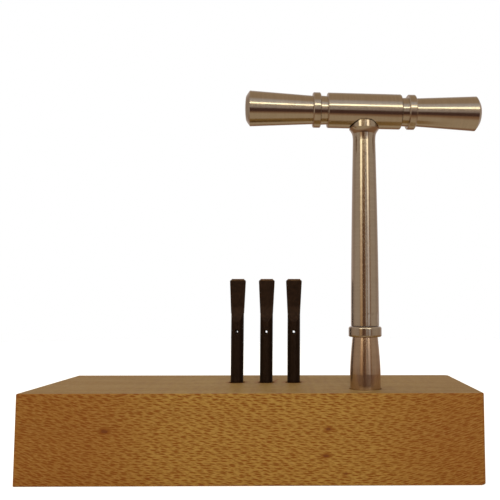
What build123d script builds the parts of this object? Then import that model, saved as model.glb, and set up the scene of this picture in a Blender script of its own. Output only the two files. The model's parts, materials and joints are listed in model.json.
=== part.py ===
from build123d import *
import os
from math import radians, sqrt, tan

# Turned T-handle turnscrew with three reversible blades in a beech stand.
# Millimetres, +Z up, X along the stand, Y from its front to its back.
# The origin is the middle of the stand's underside.

# Stand
block_length = 152.4
block_width = 60.3
block_height = 29.4
upright_round = 1.4         # the two right-hand upright edges are worn round
end_round = 0.35            # the right-hand end's other two edges
corner_wear = 1.7           # its four corners are knocked off this far along each edge
rim_chamfer = 0.25          # all the other edges are only just broken
drill_point = 118.0         # degrees

# Blades: 3/16 in rod, both ends forged flat, standing in 1/4 in holes
rod_radius = 2.38
blade_length = 63.5
blade_stand_out = 38.7
blade_hole_radius = 3.175
blade_row_y = 4.0
blade_row_x = (-8.35, 2.6, 12.9)
tip_thickness = {"thin": 0.7, "medium": 0.9, "thick": 1.1}
tip_half_width = 2.98
tip_corner = 0.7
tip_crown = 0.3             # the middle of the tip stands this much higher than its corners
flare_length = 13.0
flare_mid_half_width = 2.7  # half way down the flare
flat_length = 10.5          # straight taper, measured from the tip
scoop_length = 16.3         # end of the hollow that runs out onto the rod
scoop_mid_half_thickness = 1.28
scoop_overshoot = 0.01
flat_half_thickness = 0.75  # at the inner end of the straight taper
cross_hole_from_tip = 19.9
cross_hole_radius = 0.45
countersink_radius = 1.0
standing_gap = 0.05
blade_turn = (-3.5, 0.0, 0.0)  # degrees that each blade has been left turned in its hole

# Driver: where it stands, and the way its handle points
driver_x = 38.2
driver_y = -16.9
handle_turn = 4.0           # degrees, left end forward
recess_depth = 2.4
recess_radius = 5.6

# Crossbar: half of it, measured from the middle
bar_radius = 6.2
bar_axis_z = block_height + 97.8
barrel_half = 13.2
neck_length = 2.4
neck_radius_in = 4.98
neck_radius_out = 5.12
collar_length = 2.75
collar_chamfer = 0.3
grip_length = 22.15
grip_radius_in = 4.98
end_chamfer_length = 1.4
end_chamfer_bulge = 0.12
end_face_radius = 4.1
end_dome = 0.3

# Stem. Its head is saddled onto the bar, and only an inner land touches
stem_top_z = bar_axis_z - 11.0
stem_top_radius = 4.0
stem_lip_z = bar_axis_z - 8.55
stem_lip_radius = 4.19
stem_mid_radius = 4.6
stem_foot_radius = 4.9
stem_foot_chamfer = 0.2
head_foot_z = bar_axis_z - 6.65
head_top_z = bar_axis_z - 4.5
head_radius = 5.28
flare_sweep_radius = 5.4    # of the hollow sweep from the stem's lip into its head
saddle_land_radius = 4.5
saddle_relief = 0.42
spigot_radius = 3.0
spigot_top_z = bar_axis_z + 2.5

# Nose: the blade socket that screws into the stem
nose_mouth_z = block_height - recess_depth + standing_gap
nose_top_z = block_height + 17.7
nose_mouth_radius = 5.3
nose_neck_radius = 4.4
nose_flare_start = 7.5      # height above the mouth, and the radius half way up the flare
nose_flare_mid = 15.3
nose_flare_mid_radius = 4.86
mouth_chamfer = 0.35
socket_chamfer = 0.3
journal_radius = 4.0
shank_radius = 3.8
shank_top_z = nose_top_z + 15.0
socket_radius = 2.42
keyway_width = 1.6
keyway_radius = 3.13

# Lock ring, with the ball and pin that it works on
ring_gap = 0.05
ring_height = 3.6
ring_radius = 5.73
ring_top_round = 0.75
ring_foot_round = 0.65
ring_bore_radius = 4.05
ring_z = nose_top_z + ring_gap + ring_height / 2
ring_twist = 50.0           # degrees from released to locked
cam_radius = 4.02
cam_offset = 0.75
cam_angle = 120.0           # degrees from +X, with the ball at 90
cam_height = 2.4
ball_radius = 1.0
ball_fit = 0.03
ball_locked = 2.98          # radius of the ball's centre
ball_released = 3.48
stop_pin_radius = 0.5
stop_pin_inner = 3.0
stop_pin_outer = 4.6
stop_slot_radius = 4.75
stop_slot_overlap = 0.4
stop_slot_height = 1.2
stop_slot_margin = 8.0      # degrees past the pin's centre at each end

# Washer, thrust plug and the two grub screws, which both come in from the back
stem_foot_z = nose_top_z + ring_gap + ring_height + 0.1
washer_recess_radius = 4.75
washer_recess_depth = 0.45
washer_inner = 4.1
washer_outer = 4.65
washer_thickness = 0.35
bore_radius = 3.15
plug_thickness = 3.0
plug_face_z = ring_z + cross_hole_from_tip
nose_grub_radius = 1.0
nose_grub_z = stem_foot_z + 6.0
nose_grub_inner = 3.1
nose_grub_outer = 4.75
nose_grub_hex = 0.9         # across the flats
nose_grub_hex_depth = 0.8
bar_grub_radius = 1.5
bar_grub_inner = 2.3
bar_grub_outer = 5.9
bar_grub_hex = 1.5
bar_grub_hex_depth = 1.6


def turned(outline):
    """A solid of revolution about Z from a closed outline of radius and height."""
    return revolve(make_face(Plane.XZ * outline), Axis.Z)


def disc(radius, z_low, z_high):
    """A cylinder about Z between two heights."""
    return Pos(0, 0, z_low) * Cylinder(radius, z_high - z_low, align=(Align.CENTER, Align.CENTER, Align.MIN))


def spoke(radius, r_in, r_out, z, angle):
    """A radial cylinder about the driver's axis, pointing at an angle from +X."""
    rod = Cylinder(radius, r_out - r_in, align=(Align.CENTER, Align.CENTER, Align.MIN))
    return Rot(0, 0, angle) * Pos(r_in, 0, z) * Rot(0, 90, 0) * rod


def closed(*edges):
    """One outline from its edges."""
    outline = edges[0]
    for edge in edges[1:]:
        outline += edge
    return outline


def worn_outline(breadth, radius):
    """The block's outline along X, with its right-hand corners rounded and the others just broken."""
    outline = Rectangle(block_length, breadth)
    outline = fillet(outline.vertices().group_by(Axis.X)[-1], radius)
    return chamfer(outline.vertices().group_by(Axis.X)[0], rim_chamfer)


def knocked_corner(side, level):
    """What is missing at one corner of the right-hand end; side and level are 1 or -1."""
    corner = Vector(block_length, side * block_width, level * block_height) / 2
    outwards = Vector(1, side, level)
    start = corner - outwards * (corner_wear / 3)
    size = 4 * corner_wear
    resting = (Align.CENTER, Align.CENTER, Align.MIN)
    return Plane(start, z_dir=outwards) * Box(size, size, size, align=resting)


def stand_block():
    section = Rectangle(block_width, block_height)
    section = chamfer(section.vertices(), rim_chamfer)
    block = extrude(Plane.YZ * section, block_length, both=True)
    block &= extrude(worn_outline(block_width, upright_round), block_height, both=True)
    block &= extrude(Plane.XZ * worn_outline(block_height, end_round), block_width, both=True)
    for side in (1, -1):
        for level in (1, -1):
            block -= knocked_corner(side, level)
    block = Pos(0, 0, block_height / 2) * block
    floor_z = block_height + blade_stand_out - blade_length - standing_gap
    point_depth = blade_hole_radius / tan(radians(drill_point / 2))
    for x in blade_row_x:
        point = Cone(0, blade_hole_radius, point_depth, align=(Align.CENTER, Align.CENTER, Align.MAX))
        hole = disc(blade_hole_radius, floor_z, block_height + 1) + Pos(0, 0, floor_z) * point
        block -= Pos(x, blade_row_y, 0) * hole
    recess = disc(recess_radius, block_height - recess_depth, block_height + 1)
    return block - Pos(driver_x, driver_y, 0) * recess


def blade_end(thickness):
    """The half of a blade above its middle, with its tip at height zero."""
    half = blade_length / 2
    rod = disc(rod_radius, -half, 0)
    crown_end = (tip_half_width - tip_corner, -tip_crown)
    corner_end = (tip_half_width, -tip_crown - tip_corner)
    flare_mid = (flare_mid_half_width, -flare_length / 2)
    face = closed(
        TangentArc((0, 0), crown_end, tangent=(1, 0)),
        RadiusArc(crown_end, corner_end, tip_corner),
        ThreePointArc(corner_end, flare_mid, (rod_radius, -flare_length)),
        Line((rod_radius, -flare_length), (0, -flare_length)),
        Line((0, -flare_length), (0, 0)),
    )
    plate = extrude(make_face(Plane.XZ * face), flat_half_thickness, both=True)
    plate += mirror(plate, Plane.YZ)
    scoop_mid = (scoop_mid_half_thickness, -(flat_length + scoop_length) / 2)
    outside = rod_radius + scoop_overshoot
    side = closed(
        Line((0, 0), (thickness / 2, 0)),
        Line((thickness / 2, 0), (flat_half_thickness, -flat_length)),
        ThreePointArc((flat_half_thickness, -flat_length), scoop_mid, (outside, -scoop_length)),
        Line((outside, -scoop_length), (outside, -half)),
        Line((outside, -half), (0, -half)),
        Line((0, -half), (0, 0)),
    )
    wedge = extrude(make_face(Plane.YZ * side), 2 * rod_radius, both=True)
    wedge += mirror(wedge, Plane.XZ)
    end = (rod + plate) & wedge
    hole = Pos(0, 0, -cross_hole_from_tip) * Rot(90, 0, 0) * Cylinder(cross_hole_radius, 3 * rod_radius)
    sink_depth = countersink_radius - cross_hole_radius
    outwards = (Align.CENTER, Align.CENTER, Align.MAX)
    sink = Cone(cross_hole_radius, countersink_radius, sink_depth, align=outwards)
    for turn in (90, -90):
        end -= Pos(0, 0, -cross_hole_from_tip) * Rot(turn, 0, 0) * Pos(0, 0, rod_radius) * sink
    return end - hole


def blade(thickness):
    """A reversible blade standing upright, its middle at height zero."""
    upper = Pos(0, 0, blade_length / 2) * blade_end(thickness)
    return upper + mirror(upper, Plane.XY)


def crossbar():
    neck_start = barrel_half
    collar_start = neck_start + neck_length
    grip_start = collar_start + collar_length
    grip_end = grip_start + grip_length
    bar_end = grip_end + end_chamfer_length
    dome_end = bar_end + end_dome
    c = collar_chamfer
    steps = Polyline(
        (0, bar_radius),
        (neck_start - c, bar_radius),
        (neck_start, bar_radius - c),
        (neck_start, neck_radius_in),
        (collar_start, neck_radius_out),
        (collar_start, bar_radius - c),
        (collar_start + c, bar_radius),
        (grip_start - c, bar_radius),
        (grip_start, bar_radius - c),
        (grip_start, grip_radius_in),
        (grip_end, bar_radius),
    )
    shoulder_mid = ((grip_end + bar_end) / 2, (bar_radius + end_face_radius) / 2 + end_chamfer_bulge)
    shoulder = ThreePointArc((grip_end, bar_radius), shoulder_mid, (bar_end, end_face_radius))
    half_radius = end_face_radius / 2
    sphere_radius = (end_face_radius**2 + end_dome**2) / (2 * end_dome)
    half_way = dome_end - sphere_radius + sqrt(sphere_radius**2 - half_radius**2)
    dome = ThreePointArc((bar_end, end_face_radius), (half_way, half_radius), (dome_end, 0))
    right = steps + shoulder + dome
    outline = right + mirror(right, Plane.YZ) + Line((-dome_end, 0), (dome_end, 0))
    bar = Pos(0, 0, bar_axis_z) * revolve(make_face(outline), Axis.X)
    bar -= disc(spigot_radius, bar_axis_z - 2 * bar_radius, spigot_top_z)
    return bar - spoke(bar_grub_radius, spigot_radius / 2, 2 * bar_radius, bar_axis_z, 90)


def stem():
    foot_mid_z = (stem_top_z + stem_foot_z) / 2
    foot_flat = stem_foot_radius - stem_foot_chamfer
    foot_edge_z = stem_foot_z + stem_foot_chamfer
    shaft = ThreePointArc(
        (stem_foot_radius, foot_edge_z), (stem_mid_radius, foot_mid_z), (stem_top_radius, stem_top_z)
    )
    outline = closed(
        Line((0, stem_foot_z), (foot_flat, stem_foot_z)),
        Line((foot_flat, stem_foot_z), (stem_foot_radius, foot_edge_z)),
        shaft,
        TangentArc((stem_top_radius, stem_top_z), (stem_lip_radius, stem_lip_z), tangent=shaft % 1),
        RadiusArc((stem_lip_radius, stem_lip_z), (head_radius, head_foot_z), flare_sweep_radius),
        Line((head_radius, head_foot_z), (head_radius, head_top_z)),
        Line((head_radius, head_top_z), (0, head_top_z)),
        Line((0, head_top_z), (0, stem_foot_z)),
    )
    body = turned(outline)
    saddle = Rot(0, 90, 0) * Cylinder(bar_radius, 4 * bar_radius)
    relief = Rot(0, 90, 0) * Cylinder(bar_radius + saddle_relief, 4 * bar_radius)
    relief -= Cylinder(saddle_land_radius, 4 * bar_radius)
    body -= Pos(0, 0, bar_axis_z) * (saddle + relief)
    body += disc(spigot_radius, bar_axis_z - bar_radius - 1, spigot_top_z)
    body -= spoke(bar_grub_radius, bar_grub_inner, bar_radius, bar_axis_z, 90)
    body -= disc(shank_radius, stem_foot_z - 1, shank_top_z)
    body -= disc(bore_radius, shank_top_z, plug_face_z + plug_thickness)
    return body - spoke(nose_grub_radius, shank_radius - 1, 2 * stem_foot_radius, nose_grub_z, 90)


def key_slot(z_low, z_high):
    """The two opposite keyways that let a flat tip pass along the socket."""
    height = z_high - z_low
    return Pos(0, 0, (z_low + z_high) / 2) * Box(2 * keyway_radius, keyway_width, height)


def nose_socket():
    base_z = nose_mouth_z
    flare_start = (nose_mouth_radius, base_z + nose_flare_start)
    flare_mid = (nose_flare_mid_radius, base_z + nose_flare_mid)
    outline = closed(
        Line((0, base_z), (nose_mouth_radius - mouth_chamfer, base_z)),
        Line((nose_mouth_radius - mouth_chamfer, base_z), (nose_mouth_radius, base_z + mouth_chamfer)),
        Line((nose_mouth_radius, base_z + mouth_chamfer), flare_start),
        ThreePointArc(flare_start, flare_mid, (nose_neck_radius, nose_top_z)),
        Line((nose_neck_radius, nose_top_z), (journal_radius, nose_top_z)),
        Line((journal_radius, nose_top_z), (journal_radius, stem_foot_z)),
        Line((journal_radius, stem_foot_z), (shank_radius, stem_foot_z)),
        Line((shank_radius, stem_foot_z), (shank_radius, shank_top_z)),
        Line((shank_radius, shank_top_z), (0, shank_top_z)),
        Line((0, shank_top_z), (0, base_z)),
    )
    nose = turned(outline)
    nose -= disc(socket_radius, base_z - 1, shank_top_z + 1)
    nose -= key_slot(base_z - 1, shank_top_z + 1)
    open_radius = socket_radius + socket_chamfer
    mouth = Cone(open_radius, socket_radius, socket_chamfer, align=(Align.CENTER, Align.CENTER, Align.MIN))
    nose -= Pos(0, 0, base_z) * mouth
    pocket_radius = ball_radius + ball_fit
    nose -= spoke(pocket_radius, ball_locked, 2 * journal_radius, ring_z, 90)
    nose -= Pos(0, ball_locked, ring_z) * Sphere(pocket_radius)
    nose -= spoke(stop_pin_radius, stop_pin_inner, 2 * journal_radius, ring_z, 270)
    return nose - spoke(nose_grub_radius, nose_grub_inner, 2 * shank_radius, nose_grub_z, 90)


def lock_ring():
    """The ring as it stands released, with its cam pocket over the ball."""
    low = ring_z - ring_height / 2
    high = ring_z + ring_height / 2
    foot_flat = (ring_radius - ring_foot_round, low)
    foot_side = (ring_radius, low + ring_foot_round)
    top_side = (ring_radius, high - ring_top_round)
    top_flat = (ring_radius - ring_top_round, high)
    outline = closed(
        Line((0, low), foot_flat),
        RadiusArc(foot_flat, foot_side, -ring_foot_round),
        Line(foot_side, top_side),
        RadiusArc(top_side, top_flat, -ring_top_round),
        Line(top_flat, (0, high)),
        Line((0, high), (0, low)),
    )
    ring = turned(outline)
    ring -= disc(ring_bore_radius, low - 1, high + 1)
    ring -= disc(washer_recess_radius, high - washer_recess_depth, high + 1)
    ring -= Rot(0, 0, cam_angle) * Pos(cam_offset, 0, ring_z) * Cylinder(cam_radius, cam_height)
    slot_start = 270 - ring_twist - stop_slot_margin
    slot_sweep = ring_twist + 2 * stop_slot_margin
    slot_inner = ring_bore_radius - stop_slot_overlap
    slot_width = stop_slot_radius - slot_inner
    slot_face = Plane.XZ * Pos(slot_inner + slot_width / 2, ring_z) * Rectangle(slot_width, stop_slot_height)
    slot = Rot(0, 0, slot_start) * revolve(slot_face, Axis.Z, slot_sweep)
    return ring - slot


def ring_washer():
    top = stem_foot_z
    return disc(washer_outer, top - washer_thickness, top) - disc(washer_inner, top - 1, top + 1)


def grub_screw(radius, r_in, r_out, z, across_flats, hex_depth):
    """A grub screw pointing at the axis from the back, with a hexagon socket in its outer end."""
    hexagon = extrude(RegularPolygon(across_flats / 2, 6, major_radius=False), 2 * hex_depth)
    socket = Rot(0, 0, 90) * Pos(r_out - hex_depth, 0, z) * Rot(0, 90, 0) * hexagon
    return spoke(radius, r_in, r_out, z, 90) - socket


def driver_place():
    """Carries a driver piece from its own axis to where the driver stands."""
    return Pos(driver_x, driver_y, 0) * Rot(0, 0, handle_turn)


pieces = {"stand_block": stand_block()}
blade_middle_z = block_height + blade_stand_out - blade_length / 2
for x, turn, (name, thickness) in zip(blade_row_x, blade_turn, tip_thickness.items()):
    pieces["blade_" + name] = Pos(x, blade_row_y, blade_middle_z) * Rot(0, 0, turn) * blade(thickness)

driver_pieces = {
    "crossbar": crossbar(),
    "crossbar_grub_screw": grub_screw(
        bar_grub_radius, bar_grub_inner, bar_grub_outer, bar_axis_z, bar_grub_hex, bar_grub_hex_depth
    ),
    "stem": stem(),
    "nose_socket": nose_socket(),
    "nose_grub_screw": grub_screw(
        nose_grub_radius, nose_grub_inner, nose_grub_outer, nose_grub_z, nose_grub_hex, nose_grub_hex_depth
    ),
    "thrust_plug": disc(bore_radius, plug_face_z, plug_face_z + plug_thickness),
    "ring_washer": ring_washer(),
    "ring_stop_pin": spoke(stop_pin_radius, stop_pin_inner, stop_pin_outer, ring_z, 270),
    "lock_ring": lock_ring(),
    "lock_ball": Pos(0, ball_released, ring_z) * Sphere(ball_radius),
}
for name, piece in driver_pieces.items():
    pieces[name] = driver_place() * piece

os.makedirs("parts", exist_ok=True)
for name, piece in pieces.items():
    export_step(piece, "parts/" + name + ".step")
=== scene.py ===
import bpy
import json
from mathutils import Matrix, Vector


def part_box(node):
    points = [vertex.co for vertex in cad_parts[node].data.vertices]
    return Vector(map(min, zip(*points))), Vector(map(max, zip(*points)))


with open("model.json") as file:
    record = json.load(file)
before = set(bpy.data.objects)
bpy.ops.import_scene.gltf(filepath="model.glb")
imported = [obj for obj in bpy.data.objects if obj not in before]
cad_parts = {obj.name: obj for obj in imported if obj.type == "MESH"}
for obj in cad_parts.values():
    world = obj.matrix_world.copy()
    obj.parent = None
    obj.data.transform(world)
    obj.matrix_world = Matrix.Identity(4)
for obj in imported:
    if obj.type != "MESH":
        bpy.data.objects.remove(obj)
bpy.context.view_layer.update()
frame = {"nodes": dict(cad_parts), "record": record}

import json
import math

import bpy
from mathutils import Vector

MM = 0.001
BLADES = ("blade_thin", "blade_medium", "blade_thick")

# Where things stand, read from the frame
JOINTS = {joint["name"]: joint for joint in frame["record"]["behaviour"]["joints"]}
DRIVER = Vector(JOINTS["ring_twist"]["pos_m"])
PRESS = JOINTS["ball_press"]["axis"]
HANDLE_TURN = math.atan2(PRESS[0], -PRESS[1])
BLOCK_LOW, BLOCK_HIGH = (Vector(c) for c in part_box("stand_block"))
BAR_LOW, BAR_HIGH = (Vector(c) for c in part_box("crossbar"))
BAR_Z = (BAR_LOW.z + BAR_HIGH.z) / 2


class Graph:
    """A short way to write shader nodes. An input is a number, a tuple or another node's output."""

    def __init__(self, tree):
        self.tree = tree
        tree.nodes.clear()

    def node(self, kind, inputs=(), **settings):
        made = self.tree.nodes.new("ShaderNode" + kind)
        for name, value in settings.items():
            setattr(made, name, value)
        for name, value in dict(inputs).items():
            self.plug(made.inputs[name], value)
        return made

    def plug(self, socket, value):
        """Links a node's output to the socket or sets it to a value. None leaves it as it is."""
        if isinstance(value, bpy.types.NodeSocket):
            self.tree.links.new(value, socket)
        elif value is not None:
            socket.default_value = value

    def math(self, operation, a, b=None):
        made = self.node("Math", operation=operation)
        for socket, value in zip(made.inputs, (a, b)):
            self.plug(socket, value)
        return made.outputs[0]

    def plus(self, a, b):
        return self.math("ADD", a, b)

    def minus(self, a, b):
        return self.math("SUBTRACT", a, b)

    def times(self, a, b):
        return self.math("MULTIPLY", a, b)

    def over(self, a, b):
        return self.math("DIVIDE", a, b)

    def absolute(self, a):
        return self.math("ABSOLUTE", a)

    def distance(self, a, b):
        """How far the point (a, b) is from (0, 0)."""
        return self.math("SQRT", self.plus(self.times(a, a), self.times(b, b)))

    def vector(self, operation, a, b=None, scale=None):
        made = self.node("VectorMath", operation=operation)
        self.plug(made.inputs[0], a)
        self.plug(made.inputs[1], b)
        if scale is not None:
            self.plug(made.inputs["Scale"], scale)
        return made.outputs["Value" if operation in ("LENGTH", "DOT_PRODUCT") else "Vector"]

    def split(self, vector):
        return self.node("SeparateXYZ", {"Vector": vector}).outputs[:3]

    def join(self, x, y, z):
        return self.node("CombineXYZ", {"X": x, "Y": y, "Z": z}).outputs[0]

    def ramp(self, value, low, high, to_low=0.0, to_high=1.0):
        """A smooth step from to_low to to_high as value goes from low to high."""
        inputs = {"Value": value, "From Min": low, "From Max": high, "To Min": to_low, "To Max": to_high}
        return self.node("MapRange", inputs, interpolation_type="SMOOTHSTEP").outputs["Result"]

    def mix(self, factor, a, b, blend="MIX"):
        made = self.node("Mix", data_type="RGBA", blend_type=blend)
        for index, value in ((0, factor), (6, a), (7, b)):
            self.plug(made.inputs[index], value)
        return made.outputs[2]

    def noise(self, vector, scale, detail=2.0, rough=0.5):
        inputs = {"Vector": vector, "Scale": scale, "Detail": detail, "Roughness": rough}
        return self.node("TexNoise", inputs).outputs[0]

    def cells(self, vector, randomness):
        """Distance to the nearest of the points scattered one to a unit cell of X and Y."""
        inputs = {"Vector": vector, "Scale": 1.0, "Randomness": randomness}
        return self.node("TexVoronoi", inputs, voronoi_dimensions="2D", feature="F1").outputs["Distance"]

    def bump(self, height, strength, distance):
        inputs = {"Height": height, "Strength": strength, "Distance": distance}
        return self.node("Bump", inputs).outputs[0]

    def shaders(self, factor, a, b):
        """Shader a where factor is 0 and shader b where it is 1."""
        return self.node("MixShader", {0: factor, 1: a, 2: b}).outputs[0]

    def light(self, kind, colour, strength):
        """An Emission or Background shader."""
        return self.node(kind, {"Color": colour, "Strength": strength}).outputs[0]

    def band(self, value, centre, half, soft):
        """One inside centre +/- half, falling smoothly to nothing over soft."""
        return self.ramp(self.absolute(self.minus(value, centre)), half, half + soft, 1.0, 0.0)


def new_material(name):
    """A new material, its Graph, and its Principled shader, which is wired to the output."""
    material = bpy.data.materials.new(name)
    material.use_nodes = True
    graph = Graph(material.node_tree)
    shader = graph.node("BsdfPrincipled")
    output = graph.node("OutputMaterial")
    graph.tree.links.new(shader.outputs[0], output.inputs[0])
    return material, graph, shader


def paint(node_names, material):
    """Gives CAD nodes a material in each of their slots."""
    for name in node_names:
        for slot in frame["nodes"][name].material_slots:
            slot.material = material


def srgb(*rgb):
    """A linear colour from an 8-bit display colour, by the sRGB curve above its short straight foot."""
    return tuple(((c / 255 + 0.055) / 1.055) ** 2.4 for c in rgb) + (1.0,)


def scaled(colour, *factors):
    """A colour with its channels scaled by one factor, or by one each, and none above one."""
    factors = factors * 3 if len(factors) == 1 else factors
    return tuple(min(1.0, channel * factor) for channel, factor in zip(colour, factors)) + (1.0,)


def millimetres(graph):
    """Object coordinates in millimetres."""
    place = graph.node("TexCoord").outputs["Object"]
    return graph.vector("SCALE", place, scale=1 / MM)


def edge_mask(graph, radius):
    """One along sharp edges and zero on open faces."""
    round_normal = graph.node("Bevel", {"Radius": radius}, samples=6).outputs[0]
    flat_normal = graph.node("NewGeometry").outputs["Normal"]
    return graph.ramp(graph.vector("DOT_PRODUCT", round_normal, flat_normal), 0.995, 0.86)


# Beech

WOOD = {
    "golden": (0.560, 0.335, 0.084, 1.0),
    "russet": (0.445, 0.205, 0.046, 1.0),
    "pale": (0.600, 0.385, 0.115, 1.0),
    "late": (0.400, 0.200, 0.060, 1.0),
    "dark": (0.350, 0.142, 0.024, 1.0),
    "ray": (0.290, 0.082, 0.008, 1.0),
    "heart": (0.190, 0.060, 0.020, 1.0),
    # The top's tones are painted greyer than the front's, as painted sheen and cooler light from above
    "top": (0.402, 0.280, 0.122, 1.0),
    "top_dark": (0.355, 0.233, 0.093, 1.0),
}

# Pin knots on the front: X, Z and size in millimetres
KNOTS = ((-47.3, 17.4, 1.2), (25.0, 18.0, 0.9), (24.3, 9.5, 0.95), (30.6, 3.9, 0.6))

# Where the grain starts to dip, where it starts to gather, and the height it gathers to, in millimetres
DIP_X, GATHER_X, GATHER_Z = -15.0, 34.0, 20.0

# Each row of ray ends starts this part of their spacing further along than the row below
ROW_SHIFT = 0.41

# The growth rings' spacing in Y, and the X that the redder heartwood is furthest from, in millimetres
RING_SPACING = 3.1
HEARTWOOD_MIDDLE_X = 8.0

# Half length and half width of the painted shadow and reflection of a blade on the top about its hole, in
# millimetres
BLADE_SHADOW_AND_REFLECTION_HALF_X, BLADE_SHADOW_AND_REFLECTION_HALF_Y = 5.0, 4.9

# The split in the top: where it crosses Y = 0, its slant and half width, and its middle and half length in Y
SPLIT_X, SPLIT_SLANT, SPLIT_HALF_WIDTH = 4.7, 0.13, 0.25
SPLIT_Y, SPLIT_HALF_LENGTH = 10.0, 3.5


def beech():
    """Steamed beech: grain along X, growth rings crossing Y, and rays that run from front to back."""
    material, g, shader = new_material("beech")
    place = millimetres(g)
    x, y, z = g.split(place)

    # The grain wanders a little, dips towards the left end, and gathers towards the right
    drawn_x = g.times(x, 0.4)
    slow = g.minus(g.noise(g.join(drawn_x, y, z), 0.035, 2.0), 0.5)
    quick = g.minus(g.noise(g.join(drawn_x, y, z), 0.22, 2.0), 0.5)
    left = g.math("MINIMUM", g.minus(x, DIP_X), 0.0)
    dip = g.times(g.times(left, left), -0.0014)
    right = g.math("MAXIMUM", g.minus(x, GATHER_X), 0.0)
    climb = g.plus(g.times(g.times(right, right), -0.005),
                   g.times(g.times(right, g.minus(z, GATHER_Z)), 0.004))
    wave = g.plus(g.times(slow, 6.0), g.times(quick, 0.7))
    height = g.plus(g.plus(z, g.plus(dip, climb)), wave)

    # Rays run through from front to back, where they end as rows of short dark spindles
    depth_drift = g.times(y, 0.013)

    def spindles(spacing_x, spacing_z, shift, core, rim, randomness):
        row = g.plus(g.over(height, spacing_z), shift)
        across = g.plus(g.plus(g.over(x, spacing_x), g.times(row, ROW_SHIFT)), depth_drift)
        return g.ramp(g.cells(g.join(across, row, 0.0), randomness), core, rim, 1.0, 0.0)

    long_rays = spindles(spacing_x=3.7, spacing_z=0.80, shift=0.0, core=0.14, rim=0.40, randomness=0.6)
    short_rays = spindles(spacing_x=2.1, spacing_z=0.55, shift=5.3, core=0.10, rim=0.40, randomness=0.8)
    patch = g.ramp(g.noise(g.join(drawn_x, g.times(y, 0.2), z), 0.45, 2.0), 0.28, 0.6, 0.8, 1.0)
    rays = g.times(g.math("MAXIMUM", long_rays, g.times(short_rays, 0.65)), patch)

    # Fine fibres between them, and growth rings as soft bands across Y
    fibre_place = g.join(g.times(x, 0.42), g.times(y, 1.6), g.times(height, 2.5))
    fibres = g.noise(fibre_place, 1.5, 3.0, 0.7)
    fibre_dark = g.ramp(fibres, 0.52, 0.34)
    fibre_pale = g.ramp(fibres, 0.52, 0.7)
    arc = g.times(g.times(z, z), 0.004)
    ring_place = g.plus(g.plus(y, g.times(slow, 5.0)), arc)
    rings = g.ramp(g.math("FRACT", g.over(ring_place, RING_SPACING)), 0.5, 1.0)

    # Redder heartwood shows towards both ends
    from_middle = g.absolute(g.minus(x, HEARTWOOD_MIDDLE_X))
    red = g.ramp(g.plus(from_middle, g.times(slow, 40.0)), 22.0, 66.0)
    body = g.mix(red, WOOD["golden"], WOOD["russet"])
    body = g.mix(g.times(rings, 0.14), body, WOOD["late"])
    body = g.mix(g.times(fibre_pale, 0.55), body, WOOD["pale"])
    body = g.mix(g.times(fibre_dark, 0.7), body, WOOD["dark"])
    body = g.mix(g.times(rays, 0.95), body, WOOD["ray"])

    # Small pin knots on the front, each with a dark heart and darker grain about it
    in_front = g.ramp(y, -18.0, -24.0)
    for knot_x, knot_z, size in KNOTS:
        reach = g.distance(g.over(g.minus(x, knot_x), 2.0), g.minus(z, knot_z))
        reach = g.plus(reach, g.times(g.minus(fibres, 0.5), 0.9))
        stain = g.times(g.ramp(reach, size * 1.5, size * 0.4), in_front)
        heart = g.times(g.ramp(reach, size * 0.6, size * 0.3), in_front)
        body = g.mix(g.times(stain, 0.8), body, WOOD["ray"])
        body = g.mix(g.times(heart, 0.7), body, WOOD["heart"])

    # End grain is darker, speckled, and shows no spindles
    facing = g.split(g.node("NewGeometry").outputs["Normal"])
    end = g.ramp(g.absolute(facing[0]), 0.6, 0.95)
    speckle_place = g.join(g.times(x, 0.1), g.times(y, 0.6), g.times(z, 2.2))
    speckle = g.noise(speckle_place, 2.2, 3.0, 0.7)
    end_body = g.mix(g.times(rings, 0.5), WOOD["russet"], WOOD["dark"])
    end_body = g.mix(g.ramp(speckle, 0.55, 0.35, 0.0, 0.6), end_body, WOOD["dark"])
    body = g.mix(g.times(end, 0.9), body, end_body)

    # The planed top shows long fine pores instead of rays, and is painted greyer, standing in for the sheen
    # and cooler light it gets from above
    top = g.ramp(facing[2], 0.7, 0.95)
    pore_place = g.join(g.times(x, 0.28), g.times(y, 2.2), g.times(z, 0.2))
    pores = g.noise(pore_place, 1.3, 3.0, 0.65)
    bands = g.noise(g.join(g.times(x, 0.05), g.times(y, 0.4), z), 0.5, 2.0)
    top_body_with_painted_sheen = g.mix(g.ramp(bands, 0.35, 0.65), WOOD["top"], WOOD["top_dark"])
    top_body_with_painted_sheen = g.mix(g.ramp(pores, 0.5, 0.32, 0.0, 0.35), top_body_with_painted_sheen, WOOD["dark"])
    body = g.mix(g.times(top, 0.85), body, top_body_with_painted_sheen)

    # Painted shadow and reflection of each blade, dark red on the top about its hole, and a fine split behind
    # the middle one
    for name in BLADES:
        low, high = (Vector(corner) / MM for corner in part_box(name))
        off_x = g.over(g.minus(x, (low.x + high.x) / 2), BLADE_SHADOW_AND_REFLECTION_HALF_X)
        off_y = g.over(g.minus(y, (low.y + high.y) / 2), BLADE_SHADOW_AND_REFLECTION_HALF_Y)
        reach = g.plus(g.distance(off_x, off_y), g.times(g.minus(pores, 0.5), 1.2))
        blade_shadow_and_reflection = g.times(g.ramp(reach, 1.0, 0.75), top)
        body = g.mix(g.times(blade_shadow_and_reflection, 0.6), body, WOOD["ray"])
    off_split = g.minus(g.minus(x, SPLIT_X), g.times(y, SPLIT_SLANT))
    across_split = g.band(off_split, 0.0, SPLIT_HALF_WIDTH, SPLIT_HALF_WIDTH)
    split = g.times(across_split, g.times(g.band(y, SPLIT_Y, SPLIT_HALF_LENGTH, 1.5), top))
    body = g.mix(g.times(split, 0.8), body, WOOD["ray"])

    # Handled edges are a shade darker
    edges = edge_mask(g, 0.7 * MM)
    body = g.mix(g.times(edges, 0.3), body, WOOD["dark"])

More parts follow.
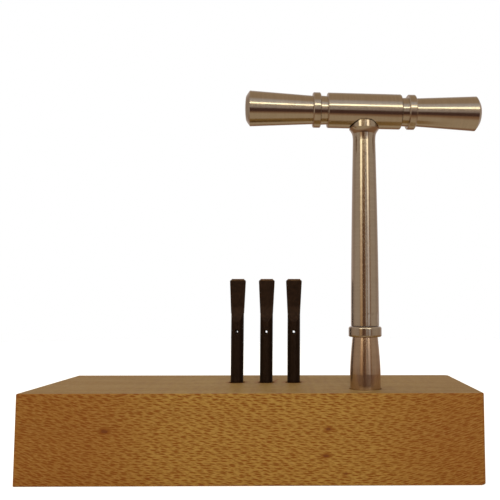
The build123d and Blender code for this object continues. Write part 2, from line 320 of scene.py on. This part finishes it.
    g.plug(shader.inputs["Base Color"], body)
    g.plug(shader.inputs["Roughness"], g.ramp(fibres, 0.3, 0.7, 0.62, 0.46))
    shader.inputs["IOR"].default_value = 1.46
    shader.inputs["Specular IOR Level"].default_value = 0.3
    relief = g.plus(g.times(rays, -0.5), g.times(fibre_dark, -0.5))
    g.plug(shader.inputs["Normal"], g.bump(relief, 0.4, 0.05 * MM))
    return material


# Metals

def turned_frame(graph):
    """Millimetres from the driver's axis at the crossbar's height, X along the handle."""
    place = graph.node("TexCoord").outputs["Object"]
    centre = (DRIVER.x, DRIVER.y, BAR_Z)
    moved = graph.vector("SUBTRACT", place, centre)
    rotate = graph.node("VectorRotate", {"Vector": moved, "Angle": -HANDLE_TURN}, rotation_type="Z_AXIS")
    return graph.vector("SCALE", rotate.outputs[0], scale=1 / MM)


# How fast a turned piece's brushing leans outwards, for each millimetre from its axis
END_SPREAD = 0.04


def turned_steel(name, along, base, roughness):
    """Lathe-turned and lightly polished steel. along is the axis that it was turned about, X or Z."""
    material, g, shader = new_material(name)
    place = turned_frame(g)
    x, y, z = g.split(place)
    axial = {"X": x, "Z": z}[along]
    across = g.math("ARCTAN2", y, {"X": z, "Z": x}[along])

    # Feed marks run round the piece, so they vary quickly along it and hardly at all round it
    round_piece = g.times(across, 0.25)
    fine = g.noise(g.join(axial, round_piece, 0.0), 9.0, 3.0, 0.6)
    broad = g.noise(g.join(axial, round_piece, 7.0), 1.6, 2.0, 0.5)
    smear = g.noise(place, 0.22, 3.0, 0.6)
    specks = g.ramp(g.noise(place, 3.1, 2.0, 0.7), 0.66, 0.74)
    edges = edge_mask(g, 0.25 * MM)

    shade = g.ramp(broad, 0.3, 0.7, 0.96, 1.02)
    colour = g.mix(1.0, base, g.join(shade, shade, shade), "MULTIPLY")
    colour = g.mix(g.ramp(smear, 0.45, 0.75, 0.0, 0.22), colour, scaled(base, 0.86, 0.78, 0.66))
    colour = g.mix(g.times(specks, 0.25), colour, scaled(base, 0.6))
    # Painted highlight: sharp edges are painted brighter, as chamfers catching the light
    colour = g.mix(g.times(edges, 0.5), colour, scaled(base, 1.22))
    g.plug(shader.inputs["Base Color"], colour)
    shader.inputs["Metallic"].default_value = 1.0
    rough = g.plus(roughness, g.times(g.minus(smear, 0.5), 0.10))
    rough = g.plus(rough, g.times(g.minus(fine, 0.5), 0.06))
    g.plug(shader.inputs["Roughness"], rough)
    marks = g.plus(g.times(fine, 0.8), g.times(broad, 0.2))
    g.plug(shader.inputs["Normal"], g.bump(marks, 0.10, 0.015 * MM))

    # Turning marks spread a highlight along the piece, and outwards on its end faces
    shader.inputs["Anisotropic"].default_value = 0.35
    if along == "X":
        outwards = g.join(1.0, g.times(y, END_SPREAD), g.times(z, END_SPREAD))
    else:
        outwards = g.join(g.times(x, END_SPREAD), g.times(y, END_SPREAD), 1.0)
    turned = g.node("VectorRotate", {"Vector": outwards, "Angle": HANDLE_TURN}, rotation_type="Z_AXIS")
    to_world = g.node("VectorTransform", {"Vector": turned.outputs[0]},
                      vector_type="VECTOR", convert_from="OBJECT", convert_to="WORLD")
    g.plug(shader.inputs["Tangent"], g.vector("NORMALIZE", to_world.outputs[0]))
    return material


# The blades are painted darker below this height, as painted shade on the shank below the ground tip, in
# millimetres
SHADED_SHANK_TOP = 52.0


def blackened_steel():
    """Forged tool steel, heat-blackened and oiled, with bare metal showing through along the edges."""
    material, g, shader = new_material("blackened_steel")
    place = millimetres(g)
    x, y, z = g.split(place)

    # Forge scale, grit, and marks drawn out along the blade
    scale_marks = g.noise(place, 0.75, 4.0, 0.65)
    grit = g.noise(place, 5.5, 3.0, 0.7)
    drawn_place = g.join(g.times(x, 5.0), g.times(y, 5.0), g.times(z, 0.35))
    drawn = g.noise(drawn_place, 1.6, 3.0, 0.6)
    # Painted shade: the blade is darker below its ground tip, whose facets catch more light
    low = g.ramp(z, SHADED_SHANK_TOP, SHADED_SHANK_TOP - 6.0)
    body = g.mix(g.ramp(scale_marks, 0.35, 0.68), srgb(42, 28, 22), srgb(53, 36, 28))
    body = g.mix(g.times(low, 0.6), body, srgb(38, 28, 24))
    body = g.mix(g.ramp(grit, 0.5, 0.72, 0.0, 0.4), body, srgb(80, 60, 48))

    # Bare metal shows at worn edges, and most of all at the tip
    worn = g.times(edge_mask(g, 0.22 * MM), g.ramp(grit, 0.38, 0.62, 0.2, 1.0))
    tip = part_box("blade_medium")[1][2] / MM
    near_tip = g.ramp(z, tip - 1.5, tip - 0.7, 0.3, 1.0)
    at_tip = g.times(g.ramp(z, tip - 0.9, tip - 0.2), g.ramp(grit, 0.44, 0.58, 0.1, 0.7))
    bare = g.math("MAXIMUM", g.times(worn, near_tip), at_tip)
    body = g.mix(g.times(bare, 0.85), body, srgb(190, 150, 118))
    g.plug(shader.inputs["Base Color"], body)
    shader.inputs["Metallic"].default_value = 0.8
    g.plug(shader.inputs["Roughness"], g.ramp(drawn, 0.3, 0.7, 0.42, 0.58))
    relief = g.plus(g.times(grit, 0.6), g.times(drawn, 0.4))
    g.plug(shader.inputs["Normal"], g.bump(relief, 0.35, 0.03 * MM))
    return material


def small_steel(name, base, roughness):
    """Plain steel for the small fittings, with a fine tumbled grain."""
    material, g, shader = new_material(name)
    place = millimetres(g)
    grain = g.noise(place, 8.0, 3.0, 0.6)
    smear = g.noise(place, 0.9, 2.0)
    edges = edge_mask(g, 0.12 * MM)
    body = g.mix(g.ramp(smear, 0.35, 0.7, 0.0, 0.5), base, scaled(base, 0.8))
    # Painted highlight: sharp edges are painted brighter
    body = g.mix(g.times(edges, 0.5), body, scaled(base, 1.3))
    g.plug(shader.inputs["Base Color"], body)
    shader.inputs["Metallic"].default_value = 1.0
    g.plug(shader.inputs["Roughness"], g.ramp(grain, 0.3, 0.7, roughness - 0.06, roughness + 0.08))
    g.plug(shader.inputs["Normal"], g.bump(grain, 0.2, 0.02 * MM))
    return material


STAINLESS = (0.62, 0.565, 0.50, 1.0)
# Stainless painted warmer for the nose, as painted reflection of the beech block below it
STAINLESS_WITH_WOOD_REFLECTION = (0.60, 0.47, 0.37, 1.0)
GREY_STEEL = (0.45, 0.43, 0.41, 1.0)
HARDENED_STEEL = (0.40, 0.40, 0.41, 1.0)
BLUED_STEEL = (0.22, 0.26, 0.36, 1.0)
BRIGHT_STEEL = (0.68, 0.68, 0.69, 1.0)

paint(["stand_block"], beech())
paint(BLADES, blackened_steel())
paint(["crossbar"], turned_steel("turned_bar", "X", STAINLESS, roughness=0.19))
paint(["stem"], turned_steel("turned_stem", "Z", STAINLESS, roughness=0.13))
paint(["nose_socket"], turned_steel("turned_nose", "Z", STAINLESS_WITH_WOOD_REFLECTION, roughness=0.18))
paint(["lock_ring"], turned_steel("turned_ring", "Z", STAINLESS, roughness=0.15))
paint(["crossbar_grub_screw", "nose_grub_screw"], small_steel("screw_steel", GREY_STEEL, roughness=0.32))
paint(["thrust_plug", "ring_stop_pin"], small_steel("hardened_steel", HARDENED_STEEL, roughness=0.28))
paint(["ring_washer"], small_steel("spring_steel", BLUED_STEEL, roughness=0.3))
paint(["lock_ball"], small_steel("ball_steel", BRIGHT_STEEL, roughness=0.15))


# Studio

# The lens, and where it stands from the block's front face and top, in metres and degrees
LENS_MM = 48.95
LENS_SHIFT = -0.14
LENS_X, LENS_AHEAD, LENS_ABOVE = 0.01915, 0.22456, 0.02796
LENS_TILT, LENS_TURN = 94.82, -0.81

# The floor's half width, and how far it lies below the stand
FLOOR_REACH = 1.2
FLOOR_DROP = 0.02 * MM

# What polished metal sees in place of the floor
TABLE = {
    "by_stand": (0.40, 0.30, 0.19, 1.0),
    "around": (0.25, 0.135, 0.070, 1.0),
    "ahead": (0.070, 0.033, 0.023, 1.0),
    "far_ahead": (0.18, 0.10, 0.062, 1.0),
}

# What polished metal sees of the room
ROOM = {
    "front_foot": (0.075, 0.034, 0.024, 1.0),
    "front_wall": (0.24, 0.13, 0.066, 1.0),
    "front_top": (0.48, 0.44, 0.41, 1.0),
    "ceiling": (0.355, 0.255, 0.16, 1.0),
    "side_foot": (0.25, 0.15, 0.09, 1.0),
    "side_wall": (0.39, 0.31, 0.23, 1.0),
    "corner": (0.33, 0.25, 0.19, 1.0),
    "rear_wall": (0.50, 0.41, 0.36, 1.0),
    "door": (0.39, 0.335, 0.285, 1.0),
    "gloom": (0.09, 0.045, 0.028, 1.0),
    "lamp": (3.9, 3.5, 2.4, 1.0),
}
LEFT_WINDOW = {
    "foot": (0.40, 0.22, 0.08, 1.0),
    "sill": (0.66, 0.46, 0.29, 1.0),
    "glass": (1.75, 1.52, 1.02, 1.0),
}
RIGHT_WINDOW = {
    "foot": (0.42, 0.37, 0.33, 1.0),
    "sill": (0.64, 0.56, 0.51, 1.0),
    "glass": (1.75, 1.50, 1.08, 1.0),
}

WHITE = (1.0, 1.0, 1.0, 1.0)
PAPER = (0.80, 0.80, 0.80, 1.0)
WARM_FILL = (1.0, 0.86, 0.62, 1.0)
AIM = Vector((0.0, 0.0, 0.05))


def camera():
    """The view of the photograph: a little above the stand and right of its middle, looking slightly up."""
    data = bpy.data.cameras.new("camera")
    data.sensor_width = 36.0
    data.lens = LENS_MM
    data.shift_x = LENS_SHIFT
    data.clip_start = 0.01
    shot = bpy.data.objects.new("camera", data)
    bpy.context.scene.collection.objects.link(shot)
    shot.location = (LENS_X, -(BLOCK_HIGH.y + LENS_AHEAD), BLOCK_HIGH.z + LENS_ABOVE)
    shot.rotation_euler = (math.radians(LENS_TILT), 0.0, math.radians(LENS_TURN))
    bpy.context.scene.camera = shot


def floor():
    """A pale sheet that fades into the backdrop, and glows a little to the camera to be as pale as that.
    Polished metal sees a warm table in its place."""
    mesh = bpy.data.meshes.new("floor")
    corners = [(x * FLOOR_REACH, y * FLOOR_REACH, 0) for x, y in ((-1, -1), (1, -1), (1, 1), (-1, 1))]
    mesh.from_pydata(corners, [], [(0, 1, 2, 3)])
    sheet = bpy.data.objects.new("floor", mesh)
    bpy.context.scene.collection.objects.link(sheet)
    sheet.location.z = BLOCK_LOW.z - FLOOR_DROP
    material = bpy.data.materials.new("floor")
    material.use_nodes = True
    g = Graph(material.node_tree)
    path = g.node("LightPath")
    place = g.node("TexCoord").outputs["Object"]
    away = g.vector("LENGTH", place)
    ahead = g.times(g.split(place)[1], -1.0)
    paper = g.node("BsdfDiffuse", {"Color": PAPER}).outputs[0]
    glowing = g.node("AddShader", {0: paper, 1: g.light("Emission", WHITE, 0.85)}).outputs[0]
    seen = g.shaders(path.outputs["Is Camera Ray"], paper, glowing)
    table = g.mix(g.ramp(away, 0.13, 0.19), TABLE["by_stand"], TABLE["around"])
    table = g.mix(g.ramp(ahead, 0.17, 0.24), table, TABLE["ahead"])
    table = g.mix(g.ramp(ahead, 0.50, 0.90), table, TABLE["far_ahead"])
    sheet_shader = g.shaders(path.outputs["Is Glossy Ray"], seen, g.light("Emission", table, 1.0))
    clear = g.node("BsdfTransparent").outputs[0]
    g.node("OutputMaterial", {"Surface": g.shaders(g.ramp(away, 0.40, 1.10), sheet_shader, clear)})
    mesh.materials.append(material)


def room():
    """The light all round. The camera sees white, and matt surfaces get an even warm fill. Polished metal
    mirrors a dim warm room, with a long lamp ahead of the stand and a tall window on either side."""
    world = bpy.data.worlds.new("room")
    bpy.context.scene.world = world
    world.use_nodes = True
    g = Graph(world.node_tree)
    path = g.node("LightPath")
    x, y, z = g.split(g.node("TexCoord").outputs["Generated"])

    # Directions in degrees: azimuth to the right of straight ahead of the stand, and height above the horizon
    degree = 180 / math.pi
    azimuth = g.times(g.math("ARCTAN2", x, g.times(y, -1.0)), degree)
    height = g.times(g.math("ARCSINE", z), degree)
    aside = g.absolute(azimuth)

    def patch(across, up):
        """One inside a part of the room. across and up are its centre, half size and soft edge in degrees."""
        return g.times(g.band(azimuth, *across), g.band(height, *up))

    # The wall ahead and the ceiling, from the floor up
    tint = g.mix(g.ramp(height, -12.0, 2.0), ROOM["front_foot"], ROOM["front_wall"])
    tint = g.mix(g.ramp(height, 17.0, 26.0), tint, ROOM["front_top"])
    tint = g.mix(g.ramp(height, 44.0, 62.0), tint, ROOM["ceiling"])

    # The side walls, then the wall behind
    sides = g.mix(g.ramp(height, -40.0, 0.0), ROOM["side_foot"], ROOM["side_wall"])
    tint = g.mix(g.times(g.ramp(aside, 38.0, 52.0), g.ramp(height, 62.0, 40.0)), tint, sides)
    below_ceiling = g.ramp(height, 60.0, 35.0)
    tint = g.mix(g.times(g.ramp(aside, 85.0, 105.0, 0.0, 0.9), below_ceiling), tint, ROOM["corner"])
    tint = g.mix(g.times(g.ramp(aside, 118.0, 150.0), below_ceiling), tint, ROOM["rear_wall"])

    # A pale doorway just right of straight ahead, and a dark strip left of it
    tint = g.mix(patch(across=(8.5, 3.5, 4.5), up=(4.0, 9.0, 8.0)), tint, ROOM["door"])
    gloom = patch(across=(-13.0, 5.0, 6.0), up=(-4.0, 10.0, 8.0))
    tint = g.mix(g.times(gloom, 0.8), tint, ROOM["gloom"])

    # A window on either side, brightest at the top, and the lamp
    window_height = g.times(g.ramp(height, 30.0, 38.0, 1.0, 0.0), g.ramp(height, -20.0, -12.0))

    def with_window(lit, centre, half, tones):
        pane = g.mix(g.ramp(height, -6.0, 8.0), tones["foot"], tones["sill"])
        pane = g.mix(g.ramp(height, 7.0, 15.5), pane, tones["glass"])
        return g.mix(g.times(g.band(azimuth, centre, half, soft=6.5), window_height), lit, pane)

    lit = with_window(tint, centre=-34.0, half=5.5, tones=LEFT_WINDOW)
    lit = with_window(lit, centre=27.5, half=5.0, tones=RIGHT_WINDOW)
    lit = g.mix(patch(across=(-2.0, 36.0, 14.0), up=(22.6, 2.0, 2.0)), lit, ROOM["lamp"])

    mirrored = g.light("Background", lit, 1.0)
    fill = g.light("Background", WARM_FILL, 0.34)
    backdrop = g.light("Background", WHITE, 1.0)
    unseen = g.shaders(path.outputs["Is Glossy Ray"], fill, mirrored)
    g.node("OutputWorld", {"Surface": g.shaders(path.outputs["Is Camera Ray"], unseen, backdrop)})


def soft_box(name, place, size, power, colour):
    """A large soft light aimed at the middle of the stand, which polished metal doesn't mirror."""
    data = bpy.data.lights.new(name, "AREA")
    data.shape = "DISK"
    data.size = size
    data.energy = power
    data.color = colour
    lamp = bpy.data.objects.new(name, data)
    bpy.context.scene.collection.objects.link(lamp)
    lamp.location = place
    lamp.rotation_euler = (AIM - lamp.location).to_track_quat("-Z", "Y").to_euler()
    lamp.visible_glossy = False
    lamp.visible_camera = False


camera()
floor()
room()
soft_box("overhead", place=(-0.15, 0.1, 0.9), size=0.7, power=1.85, colour=(1.0, 0.97, 0.86))
soft_box("front", place=(0.1, -0.8, 0.45), size=0.6, power=2.0, colour=(1.0, 0.84, 0.58))

view = bpy.context.scene.view_settings
view.view_transform = "Standard"
view.look = "None"
